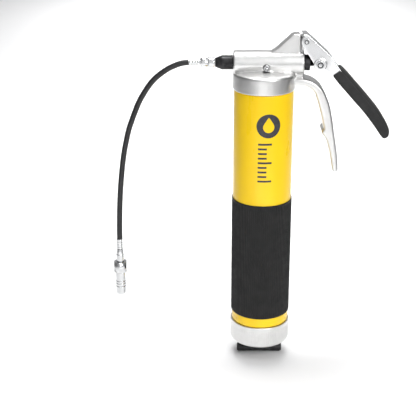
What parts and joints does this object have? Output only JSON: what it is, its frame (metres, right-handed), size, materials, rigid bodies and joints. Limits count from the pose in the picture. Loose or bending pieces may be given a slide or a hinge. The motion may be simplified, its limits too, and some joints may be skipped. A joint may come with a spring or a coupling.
{
  "type": "grease gun",
  "caption": "Pistol-grip hand grease gun: cartridge barrel with a T-handled follower rod, squeeze lever driving a plunger, flexible hose and nipple coupler.",
  "frame": {"origin": "centre of the end cap's bottom face, on the barrel's axis", "axes": "+Z along the barrel towards the head, +X towards the lever and the fixed handle, -X towards the hose, Y across the gun"},
  "size_m": [0.269, 0.0592, 0.3346],
  "materials": {
    "yellow_paint": "gloss enamel",
    "cast_aluminium": "polished casting",
    "bright_steel": "bright zinc plate",
    "chrome": "polished",
    "steel": "satin",
    "black_oxide": "satin black",
    "hose_rubber": "satin",
    "sleeve_rubber": "matte",
    "seal_rubber": "matte",
    "grip_vinyl": "soft matte",
    "brass": "turned"
  },
  "bodies": {
    "gun": {"barrel": "yellow_paint", "head_gasket": "seal_rubber", "barrel_sleeve": "sleeve_rubber", "head_casting": "cast_aluminium", "bleeder_body": "bright_steel", "bleeder_spring": "steel", "plunger_packing": "seal_rubber", "gland_nut": "black_oxide", "fulcrum_pin": "steel", "fulcrum_clip": "steel", "lever_spring": "steel", "end_cap": "cast_aluminium", "rod_bushing": "brass", "bushing_nut": "steel", "follower_spring": "steel", "check_spring": "steel", "outlet_adapter": "black_oxide", "hose_swivel_nut": "chrome", "hose_fitting_head": "chrome", "hose_ferrule_head": "chrome", "hose": "hose_rubber", "hose_ferrule_coupler": "chrome", "hose_fitting_coupler": "chrome", "coupler_nut": "chrome", "coupler_sleeve": "chrome", "coupler_spring": "steel"},
    "lever": {"lever": "bright_steel", "lever_grip": "grip_vinyl", "crank_pin": "steel", "crank_clip": "steel"},
    "plunger": {"plunger": "chrome"},
    "rod": {"follower_rod": "chrome", "t_handle": "black_oxide"},
    "follower": {"follower_cup": "seal_rubber", "follower_plate": "steel"},
    "check": {"check_ball": "steel"},
    "bleeder": {"bleeder_ball": "steel"},
    "jaws": {"coupler_jaw_1": "steel", "coupler_jaw_2": "steel", "coupler_jaw_3": "steel", "coupler_jaw_4": "steel", "coupler_seal": "seal_rubber"}
  },
  "joints": [
    {"name": "lever_pivot", "type": "hinge", "parent": "gun", "child": "lever", "pos_m": [0.0381, 0, 0.3092], "axis": [0, 1, 0], "range_deg": [0, 13.5], "stiffness_Nm_per_rad": 1, "springref_deg": -8.59, "deforming": ["lever_spring"]},
    {"name": "plunger_slide", "type": "slide", "parent": "gun", "child": "plunger", "axis": [-1, 0, 0], "range_m": [0, 0.0055]},
    {"name": "rod_slide", "type": "slide", "parent": "gun", "child": "rod", "axis": [0, 0, -1], "range_m": [0, 0.19]},
    {"name": "follower_slide", "type": "slide", "parent": "gun", "child": "follower", "axis": [0, 0, -1], "range_m": [0, 0.185], "stiffness_N_per_m": 150, "springref_m": -0.05, "deforming": ["follower_spring"]},
    {"name": "check_ball_slide", "type": "slide", "parent": "gun", "child": "check", "axis": [-1, 0, 0], "range_m": [0, 0.002], "stiffness_N_per_m": 400, "springref_m": -0.004, "deforming": ["check_spring"]},
    {"name": "bleeder_ball_slide", "type": "slide", "parent": "gun", "child": "bleeder", "axis": [0, 1, 0], "range_m": [0, 0.001], "stiffness_N_per_m": 400, "springref_m": -0.002, "deforming": ["bleeder_spring"]},
    {"name": "coupler_jaws_slide", "type": "slide", "parent": "gun", "child": "jaws", "axis": [0, 0, 1], "range_m": [0, 0.0015], "stiffness_N_per_m": 400, "springref_m": -0.004, "deforming": ["coupler_spring"]}
  ],
  "couplings": [
    {"joint": "plunger_slide", "follows": "lever_pivot", "m_per_rad": 0.02297}
  ]
}
